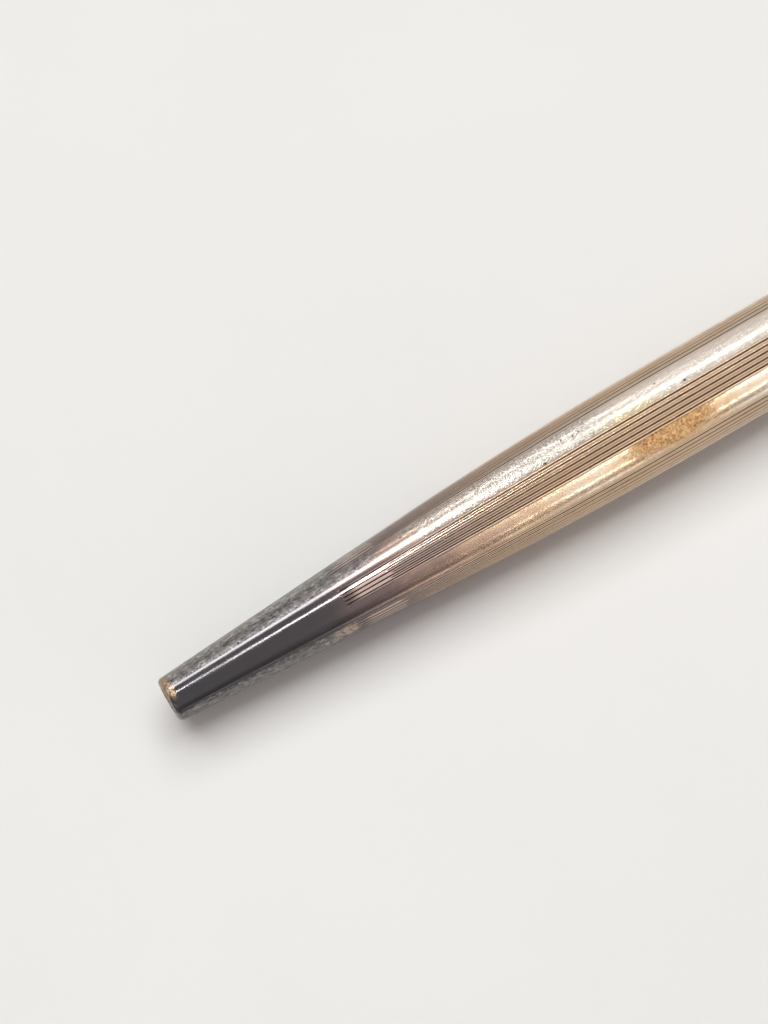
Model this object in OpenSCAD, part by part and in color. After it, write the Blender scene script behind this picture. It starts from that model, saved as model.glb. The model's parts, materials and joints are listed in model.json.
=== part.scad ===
// Slim silver mechanical pencil. A half turn of the upper barrel pushes the point out of the nose,
// and the push button then feeds the lead through a clutch.
//
// The pencil lies along +X with its nose opening at the origin, and its axis is the X axis.
// Each module is drawn standing up, along its own +Z, and lengthwise() lays it along +X.

/* [Barrels] */
// Outside diameter of both barrels where they are straight
barrel_d = 9.2; // [9.2:0.1:9.8]
// Outside diameter of the nose at its rounded front
nose_d = 4.2; // [4.2:0.1:4.6]
// Radius that rounds the lip of the nose
lip_r = 0.45; // [0.3:0.05:0.5]
// Thickness of the drawn brass tube
wall = 0.5; // [0.45:0.05:0.5]
// Length of the straight cone behind the nose
cone_length = 26; // [24:1:28]
// Distance from the nose to where the barrel is at full diameter
taper_length = 52; // [50:1:54]
// Length of the lower barrel
lower_length = 72; // [71:0.5:73]
// Width of the plain ring between the barrels
ring_width = 2.4; // [1.8:0.2:2.4]
// Distance from the nose to the rear edge of the upper barrel
upper_end = 117; // [116.5:0.5:117.5]
// Length of the rounded crown behind the clip
crown_length = 4.8; // [4:0.2:5.2]

/* [Point] */
// Diameter of the opening in the nose
nose_bore_d = 2.5; // [2.5:0.05:2.6]
// How far the point comes out of the nose
point_travel = 5.5; // [4.5:0.5:5.5]
// Turn of the upper barrel that brings the point all the way out
twist_angle = 180; // [150:10:180]
// Lead diameter
lead_d = 0.9; // [0.7:0.1:0.9]
// Number of spare leads in the magazine
spare_count = 3; // [1:1:3]

/* [Push button] */
// Outside diameter of the push button
button_d = 5.3; // [5:0.1:5.3]
// Length of the push button that shows behind the crown
button_stand = 9.7; // [9.5:0.1:10.5]

/* [Clip] */
// Distance from the clip's pivot to the centre of its ball
clip_length = 34; // [30:1:36]
// Diameter of the ball at the clip's free end
ball_d = 3; // [2.6:0.1:3.2]
// Width of the clip at its root
clip_root_w = 2.6; // [2.3:0.1:2.6]
// Width of the clip where it meets the ball
clip_tip_w = 1.9; // [1.6:0.1:2.2]
// Thickness of the clip's strip
clip_t = 0.8; // [0.7:0.05:0.9]

/* [Hidden] */
$fn = 96;

eps = 0.01;          // overlap that keeps a cut from sharing a face
slip = 0.05;         // radial clearance of a sliding or turning fit

// Barrels
barrel_r = barrel_d / 2;
nose_r = nose_d / 2;
bore_r = barrel_r - wall;
blend_length = taper_length - cone_length;
cone_angle = atan((barrel_r - nose_r) / (cone_length + blend_length / 2));
blend_r = blend_length / sin(cone_angle);
ring_end = lower_length + ring_width;
crown_start = upper_end + 2.2;
crown_end = crown_start + crown_length;

// Fixed core that joins the barrels
tube_out_r = 2.9;
tube_in_r = 2.38;
tube_start = 58;
tube_end = 92.4;

// Cartridge that carries the point
cartridge_r = 2.3;
cartridge_bore_r = 2;
cartridge_start = 24;
cartridge_end = 84;
pin_r = 0.5;
pin_x = 86;          // place of the follower pins while the point is in

// Twist cam
cam_in_r = 2.95;
cam_out_r = 3.5;
cam_start = ring_end + 2.8;
cam_end = 91;
cam_steps = 30;

// Clutch
jaw_front = 23.3;
jaw_root = 36;
jaw_angle = 120;
jaw_slot = 0.25;
clutch_start = 23.5;
clutch_length = 2.2;
clutch_out_r = 1.68;
head_big_r = 1.3;
head_small_r = 0.95;
stem_r = 0.75;
lead_r = lead_d / 2;
grip_r = lead_r + 0.005;

// Magazine and eraser
magazine_r = 1.5;
magazine_bore_r = 1.2;
magazine_start = 36.4;
magazine_end = 114;
eraser_r = 1.7;
eraser_cup_r = 2;

// Push button
button_r = button_d / 2;
button_bore_r = button_r - 0.45;
button_start = 106;
button_end = crown_end + button_stand;

// Clip: it is drawn above the barrel, then rolled round to where its ball rests on the table
ball_r = ball_d / 2;
ball_offset = barrel_r + ball_r + slip;
clip_roll = acos(-(barrel_r - ball_r) / ball_offset);
clip_pivot_x = upper_end + 1.1;
tab_t = 1;
tab_w = 2.2;

function cone_r(x) = nose_r + (blend_start_r - nose_r) * x / cone_length;
function blend_gap(x) = blend_r - sqrt(pow(blend_r, 2) - pow(taper_length - x, 2));
blend_start_r = barrel_r - blend_gap(cone_length);

// Outside radius of the lower barrel at a distance from the nose
function barrel_r_at(x) = x < cone_length ? cone_r(x) : x < taper_length ? barrel_r - blend_gap(x) : barrel_r;

module lengthwise() {
    rotate([0, 90, 0]) children();
}

// A turned solid from a closed outline of [radius, distance] points
module turned(outline) {
    lengthwise() rotate_extrude() polygon(outline);
}

// A plain tube between two distances from the nose
module tube(out_r, in_r, from, to) {
    lengthwise() translate([0, 0, from]) difference() {
        cylinder(r = out_r, h = to - from);
        translate([0, 0, -eps]) cylinder(r = in_r, h = to - from + 2 * eps);
    }
}

// A plain rod between two distances from the nose
module rod(r, from, to) {
    lengthwise() translate([0, 0, from]) cylinder(r = r, h = to - from);
}

// Centreline height of a coil spring after so many turns, with one closed turn at each end
function coil_height(turn, turns, length, wire) =
    let (free = (length - 3 * wire) / (turns - 2))
    wire / 2 + (turn < 1 ? turn * wire : turn > turns - 1 ? length - wire - (turns - turn) * wire
        : wire + (turn - 1) * free);

// A coil spring with its first end face at a distance from the nose
module coil_spring(from, length, mean_r, wire, turns) {
    steps = 14;
    sides = 8;
    rings = turns * steps;
    points = [
        for (i = [0:rings])
            let (a = 360 * i / steps, h = coil_height(i / steps, turns, length, wire))
            for (k = [0:sides - 1])
                let (b = 360 * k / sides, r = mean_r + wire / 2 * cos(b))
                [r * cos(a), r * sin(a), h + wire / 2 * sin(b)]
    ];
    walls = [
        for (i = [0:rings - 1], k = [0:sides - 1])
            let (j = (k + 1) % sides)
            each [
                [i * sides + k, i * sides + j, (i + 1) * sides + k],
                [i * sides + j, (i + 1) * sides + j, (i + 1) * sides + k],
            ]
    ];
    first_end = [for (k = [sides - 1:-1:0]) k];
    last_end = [for (k = [0:sides - 1]) rings * sides + k];
    lengthwise() translate([0, 0, from]) polyhedron(points, concat(walls, [first_end, last_end]));
}

// ---- Lower barrel and the fixed core ----

// Drawn tube: a rounded lip, a cone, a long curve, then a straight sleeve
module lower_barrel() {
    blend_steps = 16;
    lip_steps = 6;
    shoulder = 4.5;
    lip_side_r = barrel_r_at(lip_r);
    blend = [for (i = [0:blend_steps]) cone_length + blend_length * i / blend_steps];
    lip = [
        for (i = [0:lip_steps])
            let (a = 90 * i / lip_steps)
            [lip_side_r - lip_r + lip_r * sin(a), lip_r - lip_r * cos(a)]
    ];
    outside = concat(lip, [for (x = blend) [barrel_r_at(x), x]], [[barrel_r, lower_length]]);
    inside = concat(
        [[bore_r, lower_length]],
        [for (i = [blend_steps:-1:0]) [barrel_r_at(blend[i]) - wall, blend[i]]],
        [[barrel_r_at(shoulder) - wall, shoulder], [nose_bore_d / 2, shoulder], [nose_bore_d / 2, 0]]
    );
    color("silver") turned(concat(outside, inside));
}

// Brass bush that is screwed into the lower barrel, holds the guide tube and carries the upper barrel
module connector_bush() {
    spigot_end = ring_end + 2.6;
    spigot_r = bore_r - slip;
    groove_r = bore_r - 0.6;
    color("goldenrod") turned([
        [tube_out_r, 60],
        [bore_r, 60],
        [bore_r, ring_end],
        [spigot_r, ring_end],
        [spigot_r, ring_end + 0.9],
        [groove_r, ring_end + 0.9],
        [groove_r, ring_end + 1.9],
        [spigot_r, ring_end + 1.9],
        [spigot_r, spigot_end],
        [tube_out_r, spigot_end],
    ]);
}

// Plain polished ring between the barrels: it lies a little below them, with its edges broken
module centre_ring() {
    edge = 0.1;
    ring_r = barrel_r - 0.2;
    color("silver") turned([
        [bore_r, lower_length],
        [ring_r - edge, lower_length],
        [ring_r, lower_length + edge],
        [ring_r, ring_end - edge],
        [ring_r - edge, ring_end],
        [bore_r, ring_end],
    ]);
}

// Rubber ring that gives the twist its drag
module friction_ring() {
    color("black") tube(bore_r - 0.01, bore_r - 0.6, ring_end + 0.95, ring_end + 1.85);
}

// Tube with two straight slots, which keep the cartridge from turning
module guide_tube() {
    slot_r = pin_r + slip;
    color("goldenrod") difference() {
        tube(tube_out_r, tube_in_r, tube_start, tube_end);
        for (side = [0, 180]) rotate([side, 0, 0]) {
            translate([pin_x - point_travel, -slot_r, 0]) cube([point_travel, 2 * slot_r, 4]);
            for (x = [pin_x - point_travel, pin_x]) translate([x, 0, 0]) cylinder(r = slot_r, h = 4);
        }
    }
}

// Snap ring that keeps the cam sleeve on the guide tube
module retaining_ring() {
    color("gray") tube(cam_out_r - 0.1, tube_out_r, cam_end + 0.2, cam_end + 1.2);
}

// Spring in the nose that pushes the cartridge back
module return_spring() {
    color("lightgray") coil_spring(from = 4.5, length = 11.5, mean_r = 1.5, wire = 0.36, turns = 10);
}

// ---- Upper barrel, which turns ----

module upper_barrel() {
    color("silver") tube(barrel_r, bore_r, ring_end + 0.1, upper_end);
}

// Sleeve with two spiral slots, which drive the follower pins along the straight ones
module cam_sleeve() {
    slot_r = pin_r + 0.08;
    color("goldenrod") difference() {
        tube(cam_out_r, cam_in_r, cam_start, cam_end);
        for (start = [0, 180], i = [0:cam_steps])
            rotate([start - twist_angle * i / cam_steps, 0, 0])
                translate([pin_x - point_travel * i / cam_steps, 0, tube_in_r])
                    cylinder(r = slot_r, h = 2);
    }
}

// Split collar that is pressed between the cam sleeve and the upper barrel
module drive_bush() {
    split = 0.8;
    start = cam_start + 1.2;
    end = cam_end - 1;
    color("goldenrod") difference() {
        tube(bore_r, cam_out_r, start, end);
        translate([start - 1, 0, -split / 2]) cube([end - start + 2, barrel_r, split]);
    }
}

// Threaded bush inside the rear of the upper barrel
module end_nut() {
    color("goldenrod") tube(bore_r, 3.6, upper_end - 8, upper_end);
}

// Collar under the crown, with the slot that holds the clip's tab
module clip_collar() {
    slot_w = tab_w + 0.4;
    slot_l = tab_t + 0.5;
    color("silver") difference() {
        tube(barrel_r, 3.6, upper_end, crown_start);
        rotate([clip_roll, 0, 0])
            translate([clip_pivot_x - slot_l / 2, -slot_w / 2, 3]) cube([slot_l, slot_w, 3]);
    }
}

// Rounded crown, whose spigot screws into the end nut and clamps the clip collar
module crown() {
    guide_r = button_r + 0.1;
    front_r = barrel_r - 0.05;
    rear_r = 3.5;
    steps = 10;
    dome = [
        for (i = [0:steps])
            let (a = 90 * i / steps)
            [rear_r + (front_r - rear_r) * cos(a), crown_start + 0.4 + (crown_length - 0.4) * sin(a)]
    ];
    color("silver") turned(concat(
        [[guide_r, upper_end - 7], [3.58, upper_end - 7], [3.58, crown_start], [front_r, crown_start]],
        dome,
        [[guide_r + 0.2, crown_end], [guide_r, crown_end - 0.2]]
    ));
}

// ---- Clip ----

// Spring clip: a tapering strip with a ball at its free end and a tab that hooks into the collar
module clip() {
    root_top = 6.7;
    ball_x = clip_pivot_x - clip_length;
    arm_top = ball_offset + 0.45;
    tab_front = clip_pivot_x - tab_t / 2;
    tab_rear = clip_pivot_x + tab_t / 2;
    side = [
        [ball_x, arm_top],
        [ball_x, arm_top - clip_t],
        [tab_front - 1, root_top - clip_t],
        [tab_front, root_top - clip_t - 0.5],
        [tab_front, 3.8],
        [tab_rear, 3.8],
        [tab_rear, root_top - 1.2],
        [tab_rear - 0.35, root_top - 0.35],
        [tab_rear - 1.2, root_top],
    ];
    plan = [
        [ball_x, -clip_tip_w / 2],
        [tab_front - 4, -clip_root_w / 2],
        [tab_rear, -clip_root_w / 2],
        [tab_rear, clip_root_w / 2],
        [tab_front - 4, clip_root_w / 2],
        [ball_x, clip_tip_w / 2],
    ];
    color("silver") rotate([clip_roll, 0, 0]) {
        intersection() {
            rotate([90, 0, 0]) translate([0, 0, -clip_root_w])
                linear_extrude(2 * clip_root_w) polygon(side);
            union() {
                translate([0, 0, barrel_r + 0.25]) linear_extrude(5) polygon(plan);
                translate([tab_front - 1, -tab_w / 2, 3]) cube([tab_t + 2, tab_w, 2.5]);
            }
        }
        translate([ball_x, 0, ball_offset]) sphere(r = ball_r);
    }
}

// ---- Cartridge, which slides ----

// Stepped cone at the front of the cartridge: it holds the sleeve and retainer and houses the clutch
module point_cone() {
    guide_r = nose_bore_d / 2 - slip;
    head_r = 2.15;
    color("lightgray") turned([
        [0.65, 3],
        [0.8, 3],
        [guide_r, 5.2],
        [guide_r, 16],
        [head_r - 0.25, 16],
        [head_r, 16.4],
        [head_r, 24],
        [cartridge_bore_r, 24],
        [cartridge_bore_r, 28],
        [1.72, 28],
        [1.72, 22.5],
        [1.6, 22.5],
        [1.6, 18.5],
        [0.95, 18.5],
        [0.95, 9],
        [0.65, 9],
    ]);
}

// Fine tube that supports the lead at the writing end
module guide_sleeve() {
    color("lightgray") tube(0.65, lead_r + 0.02, 1, 9);
}

// Rubber bush that stops the lead from dropping out while the clutch is open
module lead_retainer() {
    color("dimgray") tube(0.95, grip_r, 9.1, 11.1);
}

module cartridge_tube() {
    color("goldenrod") tube(cartridge_r, cartridge_bore_r, cartridge_start, cartridge_end);
}

// Washer behind the clutch that the chuck spring pushes on
module spring_seat() {
    color("goldenrod") tube(cartridge_bore_r, 1.1, 28.1, 29.1);
}

// Bush in the rear of the cartridge, drilled for the follower pins
module end_bush() {
    magazine_guide_r = magazine_r + slip;
    color("goldenrod") difference() {
        turned([
            [magazine_guide_r, 80],
            [cartridge_bore_r, 80],
            [cartridge_bore_r, cartridge_end],
            [cartridge_r, cartridge_end],
            [cartridge_r, pin_x + 2],
            [magazine_guide_r, pin_x + 2],
        ]);
        for (side = [0, 180]) rotate([side, 0, 0])
            translate([pin_x, 0, 1.75]) cylinder(r = pin_r, h = 2);
    }
}

// Two short pins that reach through the guide tube into the cam
module follower_pins() {
    color("gray") for (side = [0, 180]) rotate([side, 0, 0])
        translate([pin_x, 0, 1.75]) cylinder(r = pin_r, h = cam_out_r - 0.1 - 1.75);
}

// Spring that pulls the chuck back into the clutch ring
module chuck_spring() {
    color("lightgray") coil_spring(from = 29.1, length = 4.9, mean_r = 1.3, wire = 0.25, turns = 6);
}

// ---- Clutch ----

// Ring with a coned bore that closes the jaws on the lead
module clutch_ring() {
    color("gray") turned([
        [head_big_r + 0.02, clutch_start],
        [clutch_out_r, clutch_start],
        [clutch_out_r, clutch_start + clutch_length],
        [head_small_r + 0.02, clutch_start + clutch_length],
    ]);
}

// One third of the split chuck: a coned head, a thin stem and a foot in the chuck body
module chuck_jaw(index) {
    head_end = clutch_start + clutch_length;
    foot = jaw_root - 1.6;
    reach = 3;
    half = jaw_angle / 2;
    outline = [
        [grip_r, jaw_front],
        [head_big_r - 0.1, jaw_front],
        [head_big_r, clutch_start],
        [head_small_r, head_end],
        [stem_r, head_end + 0.3],
        [stem_r, foot],
        [0.85, foot],
        [0.85, jaw_root],
        [0.5, jaw_root],
        [0.5, head_end + 0.6],
        [grip_r, head_end],
    ];
    color("goldenrod") rotate([jaw_angle * index, 0, 0]) difference() {
        turned(outline);
        // what is left is the third that is centred on +Z
        for (edge = [-1, 1]) rotate([edge * half, 0, 0])
            translate([jaw_front - 1, edge > 0 ? -reach : -jaw_slot / 2, edge > 0 ? -reach : -reach])
                cube([jaw_root - jaw_front + 2, reach + jaw_slot / 2, 2 * reach]);
    }
}

module chuck_jaw_1() {
    chuck_jaw(0);
}

module chuck_jaw_2() {
    chuck_jaw(1);
}

module chuck_jaw_3() {
    chuck_jaw(2);
}

// Body behind the jaws: a socket for their feet and a plug in the magazine
module chuck_body() {
    color("goldenrod") turned([
        [0.9, 34],
        [magazine_r, 34],
        [magazine_r, magazine_start],
        [magazine_bore_r, magazine_start],
        [magazine_bore_r, 42],
        [1.05, 42],
        [lead_r + 0.1, 40.5],
        [lead_r + 0.1, jaw_root + 0.1],
        [0.9, jaw_root + 0.1],
    ]);
}

// ---- Magazine, eraser and push button ----

module magazine_tube() {
    color("gainsboro") tube(magazine_r, magazine_bore_r, magazine_start, magazine_end);
}

module spare_leads() {
    pitch_r = 0.62;
    color("#333333") for (i = [0:spare_count - 1]) rotate([120 * i, 0, 0])
        translate([0, 0, pitch_r]) rod(lead_r, 46, 106);
}

// Brass cup that plugs the magazine and holds the eraser
module eraser_holder() {
    color("goldenrod") turned([
        [0, 110],
        [magazine_bore_r, 110],
        [magazine_bore_r, magazine_end],
        [eraser_cup_r, magazine_end],
        [eraser_cup_r, magazine_end + 6],
        [eraser_r, magazine_end + 6],
        [eraser_r, magazine_end + 1],
        [0, magazine_end + 1],
    ]);
}

module eraser() {
    end = magazine_end + 11;
    color("mistyrose") turned([
        [0, magazine_end + 1],
        [eraser_r, magazine_end + 1],
        [eraser_r, end - 0.4],
        [eraser_r - 0.4, end],
        [0, end],
    ]);
}

// Closed cap that is pressed to feed lead, and pulls off the eraser holder
module push_button() {
    rise = 0.7;
    edge = 0.35;
    steps = 8;
    flat_r = button_r - edge;
    dome_r = (pow(flat_r, 2) + pow(rise, 2)) / (2 * rise);
    dome_angle = asin(flat_r / dome_r);
    dome = [
        for (i = [0:steps])
            let (a = dome_angle * (1 - i / steps))
            [dome_r * sin(a), button_end - dome_r + dome_r * cos(a)]
    ];
    color("silver") turned(concat(
        [[button_bore_r, button_start], [button_r, button_start], [button_r, button_end - rise - edge]],
        dome,
        [[0, button_end - 2.2], [button_bore_r, button_end - 2.2]]
    ));
}

// Springy sleeve inside the button that grips the eraser holder
module button_grip() {
    color("ivory") tube(button_bore_r, eraser_cup_r + 0.01, magazine_end + 0.5, magazine_end + 5.5);
}

module lead() {
    color("#333333") rod(lead_r, 1.2, 40);
}

lower_barrel();
connector_bush();
centre_ring();
friction_ring();
guide_tube();
retaining_ring();
return_spring();
upper_barrel();
cam_sleeve();
drive_bush();
end_nut();
clip_collar();
crown();
clip();
point_cone();
guide_sleeve();
lead_retainer();
cartridge_tube();
spring_seat();
end_bush();
follower_pins();
chuck_spring();
clutch_ring();
chuck_jaw_1();
chuck_jaw_2();
chuck_jaw_3();
chuck_body();
magazine_tube();
spare_leads();
eraser_holder();
eraser();
push_button();
button_grip();
lead();
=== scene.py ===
"""Looks of the mechanical pencil: lined silver barrels, their tarnish and wear, and the small parts.

Everything is in metres in the row frame: the pencil lies along +X with its nose at the origin, and +Z is up.
A roll angle is measured round the pencil from +Z towards -Y, as the clip is rolled.
"""

import json
import math
import random

import bmesh
import bpy
from mathutils import Euler, Matrix, Quaternion, Vector


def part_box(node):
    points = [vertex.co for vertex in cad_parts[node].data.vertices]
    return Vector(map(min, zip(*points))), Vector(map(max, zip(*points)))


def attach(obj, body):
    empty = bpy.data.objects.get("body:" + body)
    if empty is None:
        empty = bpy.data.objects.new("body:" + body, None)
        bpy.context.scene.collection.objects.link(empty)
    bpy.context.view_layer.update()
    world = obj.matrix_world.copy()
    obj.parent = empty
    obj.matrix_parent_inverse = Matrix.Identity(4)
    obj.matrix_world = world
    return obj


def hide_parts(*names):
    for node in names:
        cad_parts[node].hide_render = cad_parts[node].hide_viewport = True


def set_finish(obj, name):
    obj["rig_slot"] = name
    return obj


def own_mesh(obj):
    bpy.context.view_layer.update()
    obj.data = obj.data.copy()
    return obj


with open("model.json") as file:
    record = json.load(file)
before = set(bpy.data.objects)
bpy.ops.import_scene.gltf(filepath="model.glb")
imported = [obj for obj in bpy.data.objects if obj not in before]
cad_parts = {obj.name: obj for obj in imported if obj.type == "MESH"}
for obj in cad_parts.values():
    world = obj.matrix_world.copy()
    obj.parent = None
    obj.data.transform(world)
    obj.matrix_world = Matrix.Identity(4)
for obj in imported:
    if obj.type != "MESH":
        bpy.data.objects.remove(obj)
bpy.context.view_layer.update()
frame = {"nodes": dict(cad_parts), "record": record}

MM = 0.001
SIDES = 128

# ---- Sizes read from the frame ----

BARREL_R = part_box("upper_barrel")[1].z
LOWER_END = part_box("lower_barrel")[1].x
RING_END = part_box("centre_ring")[1].x
RING_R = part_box("centre_ring")[1].z
UPPER_START, UPPER_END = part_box("upper_barrel")[0].x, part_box("upper_barrel")[1].x
CROWN_START, CROWN_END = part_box("clip_collar")[1].x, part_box("crown")[1].x
BUTTON_START, BUTTON_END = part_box("push_button")[0].x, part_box("push_button")[1].x
BUTTON_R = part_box("push_button")[1].z
ERASER_START, ERASER_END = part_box("eraser")[0].x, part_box("eraser")[1].x
ERASER_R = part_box("eraser")[1].z
LEAD_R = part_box("lead")[1].z
TABLE_Z = -BARREL_R

# ---- Lower barrel's shape, as in the part's source ----

NOSE_R = 2.1 * MM
NOSE_BORE_R = 1.25 * MM
LIP_R = 0.45 * MM
CONE = 26 * MM
TAPER = 52 * MM
WALL = 0.5 * MM
SHOULDER = 4.5 * MM
BROKEN_EDGE = 0.12 * MM  # rounding of a barrel's ends
PLAIN_END = 0.2 * MM

# ---- Line panels ----

PANELS = 6
PANEL_ROLL = math.radians(8.1)
LINES = 11
LINE_PITCH = math.radians(3.08)
LINE_DEPTH = 0.075 * MM
# half width, share of the depth, and dirt, at a line's floor (1), edge (2) and rounding (3)
LINE_SECTION = {1: (0.05 * MM, 1, 1), 2: (0.066 * MM, 0.3, 1), 3: (0.088 * MM, 0, 0)}
CLEAN_SHARE = 0.5  # how much of its dirt a fine line has lost where the barrel is widest
FINE_LINE = 0.84  # size of a fine line between deep ones
EDGE_LINE = 0.5  # size of the fine line at each edge of a panel
BAND_STEPS = 8
DEEP_START = 17.7 * MM  # the deep lines start here
FINE_START = 22.4 * MM  # the fine lines between them start here
EDGE_START = 26.5 * MM  # the fine line at each edge starts here
RUN_IN = 0.25 * MM


def arc(centre, radius, start, end, steps):
    """Points (x, r) on an arc, with angles in degrees from +x towards +r."""
    angles = [math.radians(start + (end - start) * i / steps) for i in range(steps + 1)]
    return [(centre[0] + radius * math.cos(a), centre[1] + radius * math.sin(a)) for a in angles]


def smooth(t):
    """0 below 0, 1 above 1, and a smooth rise between."""
    t = min(max(t, 0), 1)
    return t * t * (3 - 2 * t)


def barrel_radius(x):
    """Outside radius of the lower barrel behind its lip."""
    blend = TAPER - CONE
    angle = math.atan((BARREL_R - NOSE_R) / (CONE + blend / 2))
    bend = blend / math.sin(angle)
    start_r = BARREL_R - (bend - math.sqrt(bend**2 - blend**2))
    if x < CONE:
        return NOSE_R + (start_r - NOSE_R) * x / CONE
    return BARREL_R - (bend - math.sqrt(bend**2 - max(TAPER - x, 0) ** 2))


def place(x, r, roll):
    """A point at a distance along the pencil, a radius and a roll."""
    return Vector((x, -r * math.sin(roll), r * math.cos(roll)))


# ---- Mesh builders ----


def finish_mesh(name, bm, body, nodes, slot, sharp=30):
    """Turns a bmesh into a piece that rides on a body and stands for CAD nodes."""
    bmesh.ops.recalc_face_normals(bm, faces=bm.faces)
    mesh = bpy.data.meshes.new(name)
    bm.to_mesh(mesh)
    bm.free()
    mesh.polygons.foreach_set("use_smooth", [True] * len(mesh.polygons))
    mesh.set_sharp_from_angle(angle=math.radians(sharp))
    piece = bpy.data.objects.new(name, mesh)
    bpy.context.scene.collection.objects.link(piece)
    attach(piece, body)
    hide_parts(*nodes)
    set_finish(piece, slot)
    return piece


def skin_loop(bm, rings, closed):
    """Joins rings of vertices with quads; a closed one also joins the last ring to the first."""
    count = len(rings)
    for i in range(count if closed else count - 1):
        a, b = rings[i], rings[(i + 1) % count]
        for k in range(len(a)):
            n = (k + 1) % len(a)
            bm.faces.new((a[k], a[n], b[n], b[k]))


def turned(name, outline, body, nodes, slot, shift=None, sides=SIDES):
    """A turned piece from (x, r) points: a solid if they start and end on the axis, otherwise a ring.
    shift(x, r, roll) can move a point, as wear does."""
    on_axis = outline[0][1] == 0 and outline[-1][1] == 0
    bm = bmesh.new()
    rings = []
    for x, r in outline[1:-1] if on_axis else outline:
        rolls = [math.tau * k / sides for k in range(sides)]
        spots = [shift(x, r, a) if shift else (x, r) for a in rolls]
        rings.append([bm.verts.new(place(*spot, a)) for spot, a in zip(spots, rolls)])
    skin_loop(bm, rings, closed=not on_axis)
    if on_axis:
        for (x, _), ring in ((outline[0], rings[0]), (outline[-1], rings[-1])):
            tip = bm.verts.new((shift(x, 0, 0)[0] if shift else x, 0, 0))
            for k in range(sides):
                bm.faces.new((ring[k], ring[(k + 1) % sides], tip))
    return finish_mesh(name, bm, body, nodes, slot)


def line_layout():
    """The spots round a lined barrel, in order: (roll, side, line). side is a line's floor (1), edge (2)
    or rounding (3), negative on its first side, and 0 on a plain band."""
    spots = []
    for panel in range(PANELS):
        centre = PANEL_ROLL + math.tau * panel / PANELS
        for line in range(LINES):
            roll = centre + (line - (LINES - 1) / 2) * LINE_PITCH
            for side in (-3, -2, -1, 1, 2, 3):
                half = LINE_SECTION[abs(side)][0] * line_size(line)
                spots.append((roll + math.copysign(half, side) / BARREL_R, side, (panel, line)))
        edge = centre + (LINES - 1) / 2 * LINE_PITCH
        band = math.tau / PANELS - (LINES - 1) * LINE_PITCH
        spots += [(edge + band * i / (BAND_STEPS + 1), 0, None) for i in range(1, BAND_STEPS + 1)]
    return spots


def line_start(line, staggered, first):
    """Where a line begins, with the small scatter of a hand-set tool."""
    panel, index = line
    scatter = random.Random(panel * LINES + index).uniform(-1, 1)
    if not staggered:
        return first + 0.08 * MM * scatter
    if line_size(index) == 1:
        return DEEP_START + 0.05 * MM * scatter
    start = EDGE_START if index in (0, LINES - 1) else FINE_START
    return start + 0.3 * MM * scatter


def line_size(index):
    """Every second line of a panel is a full, deep one."""
    if index in (0, LINES - 1):
        return EDGE_LINE
    return 1 if index % 2 else FINE_LINE


def line_cut(x, start, end):
    """How fully a line is cut at x: 1 along it, with a short run-in at both ends."""
    return smooth((x - start) / RUN_IN + 0.5) * smooth((end - x) / RUN_IN + 0.5)


def lined_barrel(name, outside, inside, first, last, staggered, body, node):
    """A barrel of outline points (x, r), outside and then inside, with real lines cut in its outside.
    Its material reads groove, the dirt in a line, and panel, which is 1 between the lines of a panel."""
    layout = line_layout()
    bm = bmesh.new()
    groove = bm.verts.layers.float.new("groove")
    panel = bm.verts.layers.float.new("panel")
    rings = []
    for x, r in outside:
        ring = []
        lined = line_cut(x, first, last)
        cleaned = CLEAN_SHARE * smooth((x - CONE) / (TAPER - CONE))
        for roll, side, line in layout:
            if not side:
                ring.append(bm.verts.new(place(x, r, roll)))
                continue
            index = line[1]
            size = line_size(index)
            _, share, dirt = LINE_SECTION[abs(side)]
            cut = line_cut(x, line_start(line, staggered, first), last)
            vert = bm.verts.new(place(x, r - cut * share * size * LINE_DEPTH, roll))
            vert[groove] = cut * dirt * (1 if size == 1 else 1 - cleaned)
            at_edge = index in (0, LINES - 1)
            outermost = index == (0 if side < 0 else LINES - 1)
            vert[panel] = 0 if outermost else cut if at_edge else lined
            ring.append(vert)
        rings.append(ring)
    for x, r in inside:
        rings.append([bm.verts.new(place(x, r, roll)) for roll, _, _ in layout])
    skin_loop(bm, rings, closed=True)
    return finish_mesh(name, bm, body, [node], "silver_plate", sharp=28)


def stations(start, end, step, starts):
    """Distances from start to end, closer together where lines begin or end."""
    count = max(round((end - start) / step), 1)
    even = [start + (end - start) * i / count for i in range(count + 1)]
    close = [s + RUN_IN * k for s in starts for k in (-1, -0.6, -0.3, 0, 0.3, 0.6, 1)]
    merged = sorted(even + [x for x in close if start < x < end])
    kept = [merged[0]]
    for x in merged[1:]:
        if x - kept[-1] > 0.03 * MM:
            kept.append(x)
    return kept


# ---- Barrels ----


def lower_barrel():
    """The tapered nose with its rounded lip, and the lined barrel behind it."""
    line_end = LOWER_END - 1.1 * MM
    scatter = 0.25 * MM
    fine_starts = [x + k * scatter for x in (FINE_START, EDGE_START) for k in (-1, 0, 1)]
    long = stations(LIP_R * 2, LOWER_END - PLAIN_END, 1.5 * MM, [DEEP_START, line_end] + fine_starts)
    lip_side = barrel_radius(LIP_R)
    lip = arc((LIP_R, lip_side - LIP_R), LIP_R, 180, 90, 8)
    rim = arc((BROKEN_EDGE, NOSE_BORE_R + BROKEN_EDGE), BROKEN_EDGE, 270, 180, 4)
    outside = rim + lip + [(x, barrel_radius(x)) for x in long]
    outside += arc((LOWER_END - BROKEN_EDGE, BARREL_R - BROKEN_EDGE), BROKEN_EDGE, 90, 0, 3)
    inside = [(LOWER_END, BARREL_R - WALL)]
    inside += [(x, barrel_radius(x) - WALL) for x in (TAPER, 45 * MM, 38 * MM, 32 * MM, CONE, SHOULDER)]
    inside += [(SHOULDER, NOSE_BORE_R)]
    return lined_barrel(
        "lower_barrel_skin", outside, inside, DEEP_START, line_end, True, "lower", "lower_barrel"
    )


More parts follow.
